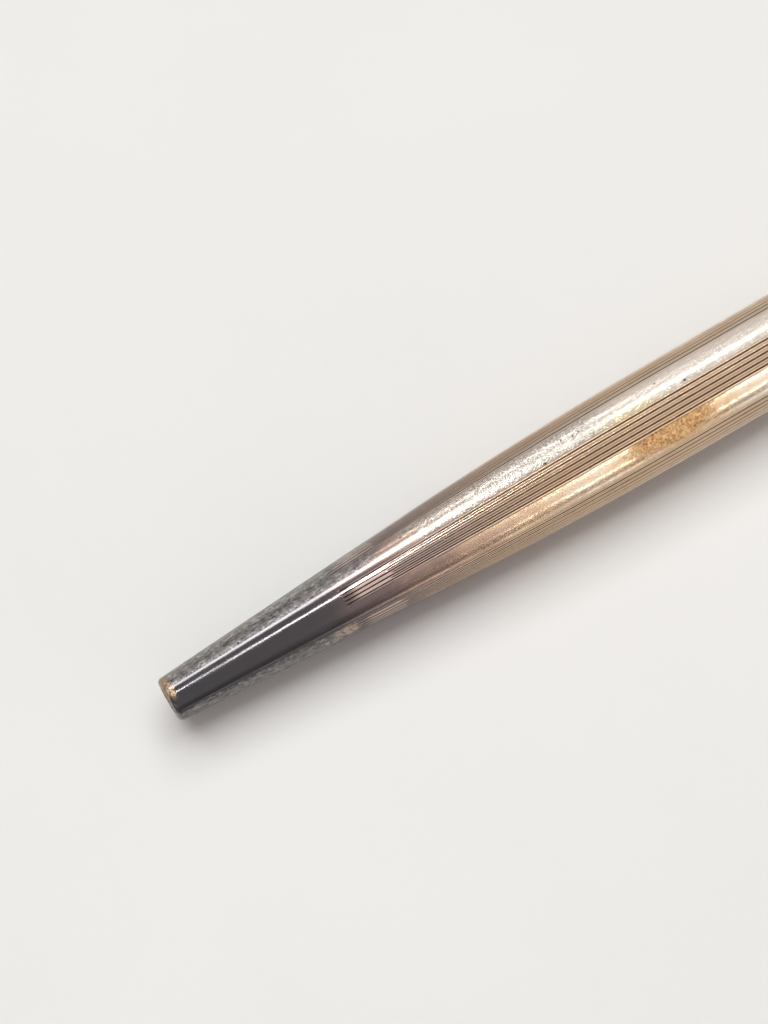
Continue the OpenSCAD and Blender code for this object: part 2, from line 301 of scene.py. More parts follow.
def upper_barrel():
    """The straight barrel behind the centre ring, lined from end to end."""
    first, last = UPPER_START + 1.0 * MM, UPPER_END - 1.0 * MM
    long = stations(UPPER_START + PLAIN_END, UPPER_END - PLAIN_END, 2 * MM, [first, last])
    outside = arc((UPPER_START + BROKEN_EDGE, BARREL_R - BROKEN_EDGE), BROKEN_EDGE, 180, 90, 3)
    outside += [(x, BARREL_R) for x in long]
    outside += arc((UPPER_END - BROKEN_EDGE, BARREL_R - BROKEN_EDGE), BROKEN_EDGE, 90, 0, 3)
    inside = [(UPPER_END, BARREL_R - WALL), (UPPER_START, BARREL_R - WALL)]
    return lined_barrel(
        "upper_barrel_skin", outside, inside, first, last, False, "upper", "upper_barrel"
    )


def centre_ring():
    """Two small beads with a groove between them."""
    bead = (RING_END - LOWER_END) / 4
    bead_half, bead_h = 0.85 * bead, 0.17 * MM
    bore = BARREL_R - WALL
    base = RING_R - 0.18 * MM
    steps = 12
    outline = [(LOWER_END, bore), (LOWER_END, base)]
    for centre in (LOWER_END + bead, LOWER_END + 3 * bead):
        outline += [
            (centre - bead_half * math.cos(a), base + bead_h * math.sin(a))
            for a in [math.pi * i / steps for i in range(steps + 1)]
        ]
    outline += [(RING_END, base), (RING_END, bore)]
    return turned("centre_ring_beads", outline, "lower", ["centre_ring"], "silver_plate")


def crown():
    """The rounded crown, with a turned step at its front and a broken edge round the button."""
    bore = BUTTON_R + 0.1 * MM
    spigot_r, spigot_start = 3.58 * MM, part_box("crown")[0].x
    front_r, rear_r = BARREL_R - 0.05 * MM, 3.5 * MM
    edge_r, rim_r = 0.1 * MM, 0.2 * MM
    groove_r = front_r - 0.14 * MM
    groove_start, groove_floor, groove_end = (CROWN_START + x * MM for x in (0.5, 0.55, 0.78))
    dome_start, dome_r = CROWN_START + 0.9 * MM, front_r - 0.06 * MM
    steps = 16
    outline = [(spigot_start, bore), (spigot_start, spigot_r), (CROWN_START, spigot_r)]
    outline += arc((CROWN_START + edge_r, front_r - edge_r), edge_r, 180, 90, 3)
    outline += [(groove_start, front_r), (groove_floor, groove_r), (groove_end, groove_r)]
    for i in range(steps + 1):
        a = math.pi / 2 * i / steps
        rise = (CROWN_END - dome_start) * math.sin(a)
        outline.append((dome_start + rise, rear_r + (dome_r - rear_r) * math.cos(a)))
    outline += arc((CROWN_END - rim_r, bore + rim_r), rim_r, 0, -90, 4)
    return turned("crown_dome", outline, "upper", ["crown"], "silver_plate")


def push_button():
    """A long cap with two fine rings near its crowned end."""
    bore = BUTTON_R - 0.45 * MM
    edge_r, rise, chamfer = 0.35 * MM, 0.7 * MM, 0.08 * MM
    flat_r = BUTTON_R - edge_r
    edge_x = BUTTON_END - rise
    dome_r = (flat_r**2 + rise**2) / (2 * rise)
    ring_half, ring_depth, ring_steps, dome_steps = 0.13 * MM, 0.09 * MM, 6, 10
    outline = [(BUTTON_START, bore), (BUTTON_START, BUTTON_R - chamfer), (BUTTON_START + chamfer, BUTTON_R)]
    for centre in (edge_x - 1.9 * MM, edge_x - 1.3 * MM):
        outline += [
            (centre - ring_half * math.cos(a), BUTTON_R - ring_depth * math.sin(a))
            for a in [math.pi * i / ring_steps for i in range(ring_steps + 1)]
        ]
    outline += arc((edge_x - edge_r, flat_r), edge_r, 90, 20, 4)
    top = math.asin(flat_r / dome_r)
    outline += [
        (BUTTON_END - dome_r + dome_r * math.cos(a), dome_r * math.sin(a))
        for a in [top * (1 - i / dome_steps) for i in range(dome_steps)]
    ]
    outline.append((BUTTON_END, 0))
    floor_x = BUTTON_END - 2.2 * MM
    inside = [(floor_x, 0), (floor_x, 1.2 * MM), (floor_x, bore)]
    return turned("push_button_cap", inside + outline, "cap", ["push_button"], "silver_plate")


# ---- Clip ----


def strip_section(width, thickness, crown_h, steps=4):
    """Points (across, up) round a flat strip with round edges and a slightly crowned top."""
    r = thickness * 0.38
    half, low, high = width / 2 - r, -thickness / 2 + r, thickness / 2 - r
    corners = ((half, low, -90), (half, high, 0), (-half, high, 90), (-half, low, 180))
    points = []
    for cx, cy, start in corners:
        points += arc((cx, cy), r, start, start + 90, steps)
    return [(a, b + crown_h * (1 - (a / (width / 2)) ** 2) * (b > 0)) for a, b in points]


def clip():
    """A tapering strip that bends down into its tab, with a ball at the free end."""
    low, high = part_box("clip")
    ball_r, gap = 1.5 * MM, 0.05 * MM
    ball_h = BARREL_R + ball_r + gap
    roll = math.acos(-(BARREL_R - ball_r) / ball_h)
    ball_x, tab_x = low.x + ball_r, high.x - 0.5 * MM
    strip_h, strip_t, root_h = ball_h + gap, 0.72 * MM, 6.3 * MM
    tip_w, root_w, tab_w = 1.9 * MM, 2.5 * MM, 2.1 * MM
    bend_r = 0.95 * MM
    bend_x = tab_x - bend_r
    tab_heights = (4.7 * MM, 3.9 * MM)
    steps, bend_steps = 14, 8
    path = [
        (ball_x + (bend_x - ball_x) * i / steps, strip_h + (root_h - strip_h) * i / steps)
        for i in range(steps + 1)
    ]
    path += arc((bend_x, root_h - bend_r), bend_r, 90, 0, bend_steps)[1:]
    path += [(tab_x, h) for h in tab_heights]
    bm = bmesh.new()
    rings = []
    for i, (x, h) in enumerate(path):
        before, after = path[max(i - 1, 0)], path[min(i + 1, len(path) - 1)]
        along = Vector((after[0] - before[0], after[1] - before[1])).normalized()
        up = Vector((-along.y, along.x))
        before_tab = i <= steps + bend_steps / 2
        width = tip_w + (root_w - tip_w) * min(i / steps, 1) if before_tab else tab_w
        ring = []
        for a, b in strip_section(width, strip_t, crown_h=0.1 * MM):
            ring.append(bm.verts.new((x + up.x * b, -a, h + up.y * b)))
        rings.append(ring)
    skin_loop(bm, rings, closed=False)
    bm.faces.new(rings[0])
    bm.faces.new(list(reversed(rings[-1])))
    bmesh.ops.recalc_face_normals(bm, faces=bm.faces)
    ball = bmesh.new()
    bmesh.ops.create_uvsphere(ball, u_segments=48, v_segments=24, radius=ball_r)
    bmesh.ops.transform(ball, matrix=Matrix.Translation((ball_x, 0, ball_h)), verts=ball.verts)
    joined = join_solids(bm, ball)
    bmesh.ops.rotate(joined, verts=joined.verts, cent=(0, 0, 0), matrix=Euler((roll, 0, 0)).to_matrix())
    return finish_mesh("clip_strip_and_ball", joined, "clip", ["clip"], "silver_plate", sharp=35)


def join_solids(first, second):
    """One closed bmesh from two that overlap, worked out a thousand times larger, where the cut is exact."""
    objects = []
    for i, bm in enumerate((first, second)):
        bmesh.ops.scale(bm, vec=(1000, 1000, 1000), verts=bm.verts)
        mesh = bpy.data.meshes.new(f"join_{i}")
        bm.to_mesh(mesh)
        bm.free()
        objects.append(bpy.data.objects.new(f"join_{i}", mesh))
        bpy.context.scene.collection.objects.link(objects[-1])
    union = objects[0].modifiers.new("join", "BOOLEAN")
    union.operation, union.solver, union.object = "UNION", "EXACT", objects[1]
    joined = bmesh.new()
    joined.from_object(objects[0], bpy.context.evaluated_depsgraph_get())
    bmesh.ops.scale(joined, vec=(0.001, 0.001, 0.001), verts=joined.verts)
    for o in objects:
        mesh = o.data
        bpy.data.objects.remove(o)
        bpy.data.meshes.remove(mesh)
    return joined


# ---- Eraser, leads and springs ----


def eraser():
    """A used eraser: its end is rounded and rubbed off a little to one side."""
    worn_length, slope, slope_roll = 1.6 * MM, 0.22, 0.8
    shorter, wave_h, waves, wave_twist = 0.22 * MM, 0.03 * MM, 5, 900
    end_r = 0.75 * MM

    def rubbed(x, r, roll):
        worn = smooth((x - ERASER_END + worn_length) / worn_length)
        lean = slope * r * math.cos(roll - slope_roll)
        wave = wave_h * math.sin(waves * roll + wave_twist * x) * worn
        return x - (shorter + lean) * worn, r - abs(wave)

    outline = [(ERASER_START, 0), (ERASER_START, ERASER_R * 0.6), (ERASER_START, ERASER_R)]
    outline += [(ERASER_START + k * MM, ERASER_R) for k in (3, 6, 8)]
    outline += arc((ERASER_END - end_r, ERASER_R - end_r), end_r, 90, 0, 8)
    outline += [(ERASER_END, ERASER_R * 0.35), (ERASER_END, 0)]
    return turned("eraser_used", outline, "feed_unit", ["eraser"], "eraser", rubbed, 64)


def lead():
    """A lead whose writing end is worn to a short slant."""
    start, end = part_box("lead")[0].x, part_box("lead")[1].x
    worn_length, slant_h = 0.3 * MM, 0.12 * MM

    def worn(x, r, roll):
        slant = slant_h * (1 + math.sin(roll)) if x < start + worn_length else 0
        return x + slant * r / LEAD_R, r

    tip = [(0, 0), (0, 0.7), (0.04 * MM, 0.92), (0.12 * MM, 1), (2 * MM, 1)]
    outline = [(start + x, share * LEAD_R) for x, share in tip] + [(end, LEAD_R), (end, 0)]
    return turned("lead_worn", outline, "lead", ["lead"], "graphite", worn, 48)


def coil(name, node, wire, turns, body):
    """A wire spring with a closed turn at each end."""
    low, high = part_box(node)
    wire_r = wire / 2
    length, mean_r = high.x - low.x, high.z - wire_r
    pitch = (length - 3 * wire) / (turns - 2)
    steps, around = 24, 10
    bm = bmesh.new()
    rings = []
    for i in range(turns * steps + 1):
        turn = i / steps
        closed_turns = min(turn, 1) + max(turn - turns + 1, 0)
        open_turns = max(min(turn, turns - 1) - 1, 0)
        x = low.x + wire_r + closed_turns * wire + open_turns * pitch
        ring = []
        for b in [math.tau * k / around for k in range(around)]:
            spot = place(x + wire_r * math.sin(b), mean_r + wire_r * math.cos(b), math.tau * turn)
            ring.append(bm.verts.new(spot))
        rings.append(ring)
    skin_loop(bm, rings, closed=False)
    bm.faces.new(rings[0])
    bm.faces.new(list(reversed(rings[-1])))
    piece = finish_mesh(name, bm, body, [node], "steel")
    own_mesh(piece)
    return piece


# ---- Materials ----


class Shader:
    """A material's node tree with short ways to add to it. Positions in it are in millimetres."""

    def __init__(self, name):
        self.material = bpy.data.materials.new(name)
        self.material.use_nodes = True
        self.tree = self.material.node_tree
        self.surface = self.tree.nodes["Principled BSDF"]
        where = self.node("ShaderNodeTexCoord").outputs["Object"]
        scaled = self.node("ShaderNodeVectorMath", operation="SCALE")
        self.link(where, scaled.inputs[0])
        scaled.inputs["Scale"].default_value = 1000
        self.place = scaled.outputs[0]
        parts = self.node("ShaderNodeSeparateXYZ")
        self.link(self.place, parts.inputs[0])
        self.x, self.y, self.z = parts.outputs

    def node(self, kind, **settings):
        made = self.tree.nodes.new(kind)
        for name, value in settings.items():
            setattr(made, name, value)
        return made

    def link(self, source, target):
        if isinstance(source, (int, float)):
            target.default_value = source
        elif isinstance(source, tuple):
            target.default_value = (*source, 1) if len(target.default_value) == 4 else source
        else:
            self.tree.links.new(source, target)

    def math(self, operation, a, b=0, clamp=False):
        made = self.node("ShaderNodeMath", operation=operation, use_clamp=clamp)
        self.link(a, made.inputs[0])
        self.link(b, made.inputs[1])
        return made.outputs[0]

    def times(self, *values):
        product = values[0]
        for value in values[1:]:
            product = self.math("MULTIPLY", product, value)
        return product

    def spread(self, noise, width):
        """A noise brought to lie round 0."""
        return self.times(self.math("SUBTRACT", noise, 0.5), width)

    def rise(self, value, low, high, bottom=0, top=1):
        """A smooth step from bottom to top as value goes from low to high."""
        made = self.node("ShaderNodeMapRange", interpolation_type="SMOOTHSTEP")
        for i, v in enumerate((value, low, high, bottom, top)):
            self.link(v, made.inputs[i])
        return made.outputs[0]

    def hump(self, value, centre, half, soft):
        """1 within half of centre, falling to 0 over soft."""
        away = self.math("ABSOLUTE", self.math("SUBTRACT", value, centre))
        return self.rise(away, half + soft, half)

    def stretched(self, scale):
        made = self.node("ShaderNodeVectorMath", operation="MULTIPLY")
        self.link(self.place, made.inputs[0])
        made.inputs[1].default_value = scale
        return made.outputs[0]

    def noise(self, scale=1, detail=4, roughness=0.55, stretch=None, distortion=0):
        made = self.node("ShaderNodeTexNoise")
        self.link(self.stretched(stretch) if stretch else self.place, made.inputs["Vector"])
        made.inputs["Scale"].default_value = scale
        made.inputs["Detail"].default_value = detail
        made.inputs["Roughness"].default_value = roughness
        made.inputs["Distortion"].default_value = distortion
        return made.outputs[0]

    def spots(self, scale, size, share):
        """1 in small round spots. share is the part of the cells that have one."""
        cells = self.node("ShaderNodeTexVoronoi")
        self.link(self.place, cells.inputs["Vector"])
        cells.inputs["Scale"].default_value = scale
        pick = self.node("ShaderNodeSeparateColor")
        self.link(cells.outputs["Color"], pick.inputs[0])
        chosen = self.math("LESS_THAN", pick.outputs[0], share)
        past_edge = self.math("SUBTRACT", cells.outputs["Distance"], self.times(pick.outputs[1], size))
        return self.times(self.rise(past_edge, 0.06, 0), chosen)

    def ramp(self, value, stops):
        made = self.node("ShaderNodeValToRGB")
        self.link(value, made.inputs[0])
        elements = made.color_ramp.elements
        while len(elements) < len(stops):
            elements.new(0.5)
        for element, (position, colour) in zip(elements, stops):
            element.position = position
            element.color = (*colour, 1) if isinstance(colour, tuple) else (colour, colour, colour, 1)
        return made.outputs[0]

    def blend(self, a, b, share):
        """Colour a, or b where share is 1."""
        made = self.node("ShaderNodeMix", data_type="RGBA")
        self.link(share, made.inputs[0])
        self.link(a, made.inputs[6])
        self.link(b, made.inputs[7])
        return made.outputs[2]

    def mix(self, a, b, share):
        """Number a, or b where share is 1."""
        made = self.node("ShaderNodeMix", data_type="FLOAT")
        for i, v in enumerate((share, a, b)):
            self.link(v, made.inputs[(0, 2, 3)[i]])
        return made.outputs[0]

    def bumps(self, *layers):
        """Stacks (height, depth in millimetres) layers into the surface's normal."""
        normal = None
        for height, depth in layers:
            made = self.node("ShaderNodeBump")
            made.inputs["Strength"].default_value = 1
            made.inputs["Distance"].default_value = depth * MM
            self.link(height, made.inputs["Height"])
            if normal:
                self.link(normal, made.inputs["Normal"])
            normal = made.outputs[0]
        self.link(normal, self.surface.inputs["Normal"])

    def done(self, colour, roughness, metallic=0.0, **others):
        self.link(colour, self.surface.inputs["Base Color"])
        self.link(roughness, self.surface.inputs["Roughness"])
        self.link(metallic, self.surface.inputs["Metallic"])
        for name, value in others.items():
            self.surface.inputs[name.replace("_", " ")].default_value = value
        return self.material


# ---- Silver plate ----

# (position, value) stops of ramps: tarnish by distance in spans, and colours by tarnish or by noise
TARNISH_SPAN = 134
TARNISH_ALONG = [
    (0, 0.95), (0.105, 0.9), (0.13, 0.78), (0.165, 0.64), (0.21, 0.52), (0.255, 0.38), (0.31, 0.27),
    (0.42, 0.2), (0.5, 0.18), (0.62, 0.28), (0.74, 0.16), (0.88, 0.3), (1, 0.22),
]
TARNISH_COLOURS = [
    (0, (0.80, 0.76, 0.70)), (0.2, (0.70, 0.595, 0.48)), (0.35, (0.58, 0.43, 0.295)),
    (0.5, (0.41, 0.29, 0.215)), (0.66, (0.18, 0.137, 0.132)), (0.82, (0.088, 0.079, 0.082)),
    (1, (0.06, 0.061, 0.065)),
]
RUBBED_COLOURS = [
    (0.36, (0.05, 0.05, 0.052)), (0.46, (0.14, 0.135, 0.13)), (0.56, (0.24, 0.23, 0.22)),
    (0.68, (0.52, 0.48, 0.43)),
]
LIP_COLOURS = [(0.38, (0.05, 0.035, 0.03)), (0.48, (0.33, 0.23, 0.15)), (0.6, (0.60, 0.43, 0.28))]
RUST_COLOURS = [(0.36, (0.20, 0.10, 0.04)), (0.46, (0.52, 0.29, 0.12)), (0.6, (0.84, 0.55, 0.27))]
FROST_COLOURS = [(0.38, (0.20, 0.18, 0.16)), (0.62, (0.60, 0.57, 0.52))]
BARE_BRASS_COLOURS = [(0.35, (0.80, 0.56, 0.36)), (0.65, (0.95, 0.70, 0.48))]
# colours of marks
STAIN = (0.58, 0.37, 0.18)
SILVERED = (0.58, 0.555, 0.51)
YELLOWED = (0.72, 0.62, 0.30)
PIT = (0.06, 0.045, 0.035)
# painted highlight on the lands where the lines begin, over their partly rubbed pale colour
LAND_HIGHLIGHT = (0.70, 0.56, 0.49)
BARE_SPOT = (0.56, 0.41, 0.29)
NOSE_DIRT, BARREL_DIRT = (0.024, 0.019, 0.017), (0.06, 0.036, 0.019)
# the corroded patch's middle, and how fast it fades along, across and up
PATCH_PLACE, PATCH_SHAPE = (50.5, -2.45, 3.9), (0.24, 0.95, 0.95)


class Plate(Shader):
    """Old silver plate on brass. Each mark is laid over the colour and roughness of the marks before it.
    Distances are in millimetres from the nose, and rolls in radians."""

    def __init__(self, name):
        super().__init__(name)
        self.roll = self.math("ARCTAN2", self.times(self.y, -1), self.z)
        self.streaks = self.noise(0.5, detail=5, roughness=0.6, stretch=(0.25, 1, 1))
        self.cloud = self.noise(0.3, detail=4, roughness=0.6)
        self.grain = self.noise(3.2, detail=6, roughness=0.65)
        self.behind_nose = self.rise(self.x, 14, 24)
        self.line = self.node("ShaderNodeAttribute", attribute_name="groove").outputs["Fac"]
        self.panel = self.node("ShaderNodeAttribute", attribute_name="panel").outputs["Fac"]
        self.dull_side = self.hump(self.roll, centre=-0.95, half=0.2, soft=0.15)

    def paint(self, colour, share):
        self.colour = self.blend(self.colour, colour, share)

    def polish(self, roughness, share):
        self.roughness = self.mix(self.roughness, roughness, share)

    def tarnish(self):
        """Blue-black tarnish at the nose, through brown and pale gold to silver."""
        along = self.ramp(self.math("DIVIDE", self.x, TARNISH_SPAN), TARNISH_ALONG)
        drift = self.math("ADD", self.spread(self.streaks, 0.35), self.spread(self.cloud, 0.22))
        drift = self.times(drift, self.mix(0.2, 1, self.behind_nose))
        lands = self.times(self.panel, self.mix(-0.055, 0.14, self.dull_side))
        tarnish = self.math("ADD", along, self.math("ADD", drift, lands), clamp=True)
        self.colour = self.ramp(tarnish, TARNISH_COLOURS)
        self.roughness = self.mix(0.12, 0.14, self.behind_nose)
        self.polish(0.26, self.rise(self.streaks, 0.42, 0.75))

    def rub_nose(self):
        """The nose is rubbed grey all round, except on one smooth dark side; a painted highlight makes the
        grey paler along one roll.
        """
        edge = self.math("ADD", self.roll, self.spread(self.grain, 0.35))
        smooth_side = self.hump(edge, centre=0.28, half=0.6, soft=0.1)
        shifted = self.math("ADD", self.x, self.rise(self.roll, 0.1, -0.4, bottom=0, top=-4.5))
        on_nose = self.rise(self.math("ADD", shifted, self.times(self.grain, 3)), 21, 16.5)
        self.rub = self.times(self.math("SUBTRACT", 1, smooth_side), on_nose)
        # painted highlight: the rubbed grey made paler in a streak along one roll on the +Y side
        highlight_streak = self.times(self.hump(self.roll, centre=-0.95, half=0.12, soft=0.2), 0.09)
        scuffs = self.noise(3.2, detail=8, roughness=0.75, stretch=(0.55, 1, 1), distortion=0.5)
        grey = self.ramp(self.math("ADD", scuffs, highlight_streak), RUBBED_COLOURS)
        self.paint(grey, self.times(self.rub, 0.85))
        self.polish(0.3, self.rub)

    def bare_lip(self):
        """Brass shows at the lip, most of all on its far side."""
        uneven = self.times(self.grain, 1.2)
        lip = self.rise(self.math("ADD", self.x, uneven), 1.6, 1.2)
        far_side = self.rise(self.math("ADD", self.y, uneven), -0.1, 0.7)
        patchy = self.rise(self.noise(2.6, detail=5, roughness=0.7), 0.4, 0.52, bottom=0.15)
        bare = self.times(lip, far_side, patchy)
        self.paint(self.ramp(self.noise(11, detail=4, roughness=0.6), LIP_COLOURS), bare)
        self.polish(0.4, bare)

    def corrode(self):
        """The corroded patch low on the near side of the barrel, with a stain round it."""
        apart = self.node("ShaderNodeVectorMath", operation="SUBTRACT")
        self.link(self.place, apart.inputs[0])
        apart.inputs[1].default_value = PATCH_PLACE
        shaped = self.node("ShaderNodeVectorMath", operation="MULTIPLY")
        self.link(apart.outputs[0], shaped.inputs[0])
        shaped.inputs[1].default_value = PATCH_SHAPE
        away = self.node("ShaderNodeVectorMath", operation="LENGTH")
        self.link(shaped.outputs[0], away.inputs[0])
        uneven = self.spread(self.noise(1.1, detail=5, roughness=0.65), 1.6)
        ragged = self.math("ADD", away.outputs["Value"], uneven)
        self.patch = self.rise(ragged, 1.15, 0.8)
        on_lands = self.times(self.panel, self.rise(ragged, 4.6, 2.2, top=0.6))
        stain = self.math("MAXIMUM", self.rise(ragged, 2.6, 0.7), on_lands)
        self.worms = self.noise(3.2, detail=5, roughness=0.6, distortion=1.6)
        self.paint(STAIN, self.times(stain, 0.75))
        self.paint(self.ramp(self.worms, RUST_COLOURS), self.times(self.patch, 0.9))
        self.polish(0.38, self.patch)

    def rub_band(self):
        """One plain band is rubbed back to silver, with a yellow tint, frosting and pits."""
        band = self.hump(self.roll, centre=-0.45, half=0.26, soft=0.16)
        self.paint(SILVERED, self.times(band, self.rise(self.x, 26, 36, top=0.65)))
        tint = self.hump(self.x, centre=47, half=1.5, soft=4)
        tint = self.times(tint, self.hump(self.roll, centre=-0.13, half=0.05, soft=0.12))
        self.paint(YELLOWED, self.times(tint, 0.42))
        frost = self.hump(self.x, centre=35, half=7.5, soft=6)
        frost = self.times(frost, self.hump(self.roll, centre=-0.42, half=0.25, soft=0.1))
        self.frost = self.times(frost, self.rise(self.cloud, 0.2, 0.45))
        frosted = self.ramp(self.noise(5, detail=5, roughness=0.75), FROST_COLOURS)
        self.paint(frosted, self.times(self.frost, 0.75))
        self.polish(self.rise(self.grain, 0.38, 0.62, bottom=0.15, top=0.25), self.frost)
        self.pits = self.times(self.spots(0.9, size=0.1, share=0.28), self.behind_nose)
        self.paint(PIT, self.pits)

    def wear_lands(self):
        """Lands worn to brass along the barrel; where the lines begin, partly rubbed pale and partly a
        painted highlight.
        """
        worn = self.times(self.panel, self.rise(self.x, 23, 31, top=0.54))
        self.polish(0.3, worn)
        brass = self.ramp(self.streaks, BARE_BRASS_COLOURS)
        self.paint(brass, self.times(worn, self.mix(1, 0.3, self.dull_side)))
        # painted highlight: lands painted lighter where the lines begin, most on the rolls towards the
        # windows
        land_highlight = self.times(self.rise(self.x, 40, 24), self.rise(self.x, 18.1, 19.5))
        land_highlight = self.times(self.panel, land_highlight, self.rise(self.roll, 1.3, 0.5, bottom=0.35, top=0.8))
        self.paint(LAND_HIGHLIGHT, self.times(land_highlight, self.mix(1, 0.5, self.dull_side)))

    def bare_spot(self):
        """A brass-coloured spot in front of the lines, low on the near side."""
        spot = self.hump(self.x, centre=16.8, half=0.6, soft=1.4)
        spot = self.times(spot, self.hump(self.roll, centre=1.12, half=0.1, soft=0.16))
        self.paint(BARE_SPOT, self.times(spot, self.rise(self.grain, 0.4, 0.55), 0.6))

    def soil_lines(self):
        """Dull dirt in the lines, browner along the barrel."""
        dirt = self.times(self.line, self.rise(self.grain, 0.1, 0.6, bottom=0.75))
        self.paint(self.blend(NOSE_DIRT, BARREL_DIRT, self.rise(self.x, 26, 40)), dirt)
        self.polish(0.65, dirt)
        self.link(self.mix(0.5, 0.12, dirt), self.surface.inputs["Specular IOR Level"])
        self.metallic = self.mix(1, 0, dirt)

    def relief(self):
        """Height of the scratches, pepper marks, rubbed grain, corrosion and pits."""
        scratches = self.noise(2.4, detail=8, roughness=0.75, stretch=(0.12, 2.2, 2.2), distortion=0.4)
        peppered = self.rise(self.noise(5.5, detail=3, roughness=0.7), 0.5, 0.68)
        peppered = self.times(peppered, self.rise(self.x, 25, 34, bottom=0.1))
        grainy = self.times(self.grain, self.math("ADD", self.rub, self.times(self.frost, 0.35)))
        corroded = self.times(self.worms, self.patch)
        fine = [(scratches, 0.003), (peppered, -0.005)]
        coarse = [(grainy, 0.02), (corroded, 0.06), (self.pits, -0.02)]
        self.bumps(*fine, *coarse)


def silver_plate():
    plate = Plate("silver_plate")
    plate.tarnish()
    plate.rub_nose()
    plate.bare_lip()
    plate.corrode()
    plate.rub_band()
    plate.wear_lands()
    plate.bare_spot()
    plate.soil_lines()
    plate.relief()
    return plate.done(plate.colour, plate.roughness, plate.metallic)


# ---- Other materials ----


def turned_metal(name, light, dark, roughness):
    """Bare turned metal: fine rings from the lathe, with a little staining."""
    s = Shader(name)
    stain = s.noise(0.7, detail=5, roughness=0.6)
    rings = s.noise(9, detail=3, roughness=0.6, stretch=(2.5, 0.05, 0.05))
    marks = s.math("ADD", s.times(stain, 0.7), s.times(rings, 0.3))
    colour = s.ramp(marks, [(0.3, dark), (0.62, light)])
    s.bumps((rings, 0.01), (s.noise(6, 4), 0.004))
    return s.done(colour, s.rise(stain, 0.3, 0.7, roughness, roughness + 0.12), 1.0)


def lead_material():
    """Dark lead with a faint sheen and a fine grain."""
    s = Shader("graphite")
    grain = s.noise(18, 5, 0.7)
    drawn = s.noise(5, 4, 0.6, stretch=(0.1, 3, 3))
    colour = s.ramp(drawn, [(0.3, (0.022, 0.022, 0.025)), (0.7, (0.07, 0.07, 0.075))])
    s.bumps((drawn, 0.006), (grain, 0.006))
    return s.done(colour, s.rise(grain, 0.3, 0.7, 0.38, 0.52), 0.35)


def rubber_material():
    """Black rubber with a matte skin and a little dust."""
    s = Shader("rubber")
    dust = s.noise(5, 6, 0.7)
    colour = s.ramp(dust, [(0.4, (0.012, 0.012, 0.012)), (0.75, (0.05, 0.048, 0.045))])
    s.bumps((s.noise(16, 4), 0.012))
    return s.done(colour, 0.7)


def eraser_material():
    """Pale pink eraser, smudged with lead towards its worn end."""
    s = Shader("eraser")
    smudge = s.noise(1.4, 6, 0.65, distortion=0.7)
    near_end = s.rise(s.x, ERASER_END / MM - 3.2, ERASER_END / MM - 0.2)
    share = s.times(s.rise(smudge, 0.42, 0.7), near_end, 0.7)
    clean = s.ramp(s.noise(0.8, 4), [(0.3, (0.60, 0.36, 0.33)), (0.7, (0.70, 0.46, 0.42))])
    colour = s.blend(clean, (0.16, 0.14, 0.145), share)
    s.bumps((s.noise(7, 6, 0.7), 0.03))
    return s.done(colour, 0.75, Subsurface_Weight=0.12, Subsurface_Scale=0.0008)


def nylon_material():
    """Cream moulded nylon."""
    s = Shader("nylon")
    cloud = s.noise(1.2, 4)
    colour = s.ramp(cloud, [(0.3, (0.66, 0.60, 0.46)), (0.7, (0.78, 0.73, 0.60))])
    s.bumps((s.noise(9, 5), 0.008))
    return s.done(colour, s.rise(cloud, 0.3, 0.7, 0.35, 0.5), Subsurface_Weight=0.1, Subsurface_Scale=0.001)


def table_material():
    """Matte white board."""
    s = Shader("table")
    cloud = s.noise(0.02, 3)
    colour = s.ramp(cloud, [(0.35, (0.78, 0.785, 0.775)), (0.65, (0.80, 0.805, 0.795))])
    s.bumps((s.noise(2.5, 5, 0.6), 0.01))
    return s.done(colour, 0.65)


# ---- Stage: table, light and camera ----


def table():
    """The flat board the pencil lies on."""
    mesh = bpy.data.meshes.new("table")
    half = 1.5
    corners = [(-half, -half, TABLE_Z), (half, -half, TABLE_Z), (half, half, TABLE_Z), (-half, half, TABLE_Z)]
    mesh.from_pydata(corners, [], [(0, 1, 2, 3)])
    board = bpy.data.objects.new("table", mesh)
    bpy.context.scene.collection.objects.link(board)
    mesh.materials.append(table_material())


def softbox(name, side, along, span, radiance, colour=(1, 1, 1), matte=False, distance=0.8):
    """A rectangular light that faces the pencil. side is its angle from straight up towards +Y, along is
    its lean towards +X and span is how far it reaches (along the pencil, across it), all in degrees.
    It shows only in glossy surfaces, or, if matte, only in the others."""
    a, b = math.radians(side), math.radians(along)
    towards = Vector((math.sin(b), math.sin(a) * math.cos(b), math.cos(a) * math.cos(b)))
    light = bpy.data.lights.new(name, "AREA")
    light.shape = "RECTANGLE"
    light.size, light.size_y = (2 * distance * math.tan(math.radians(angle / 2)) for angle in span)
    light.energy = radiance * math.pi * light.size * light.size_y
    light.color = colour
    lamp = bpy.data.objects.new(name, light)
    lamp.visible_diffuse = matte
    lamp.visible_glossy = not matte
    bpy.context.scene.collection.objects.link(lamp)
    across = towards.cross(Vector((1, 0, 0))).normalized()
    length = across.cross(towards)
    middle = Vector((CONE, 0, 0))
    facing = Matrix((length, across, towards)).transposed().to_4x4()
    lamp.matrix_world = Matrix.Translation(middle + towards * distance) @ facing


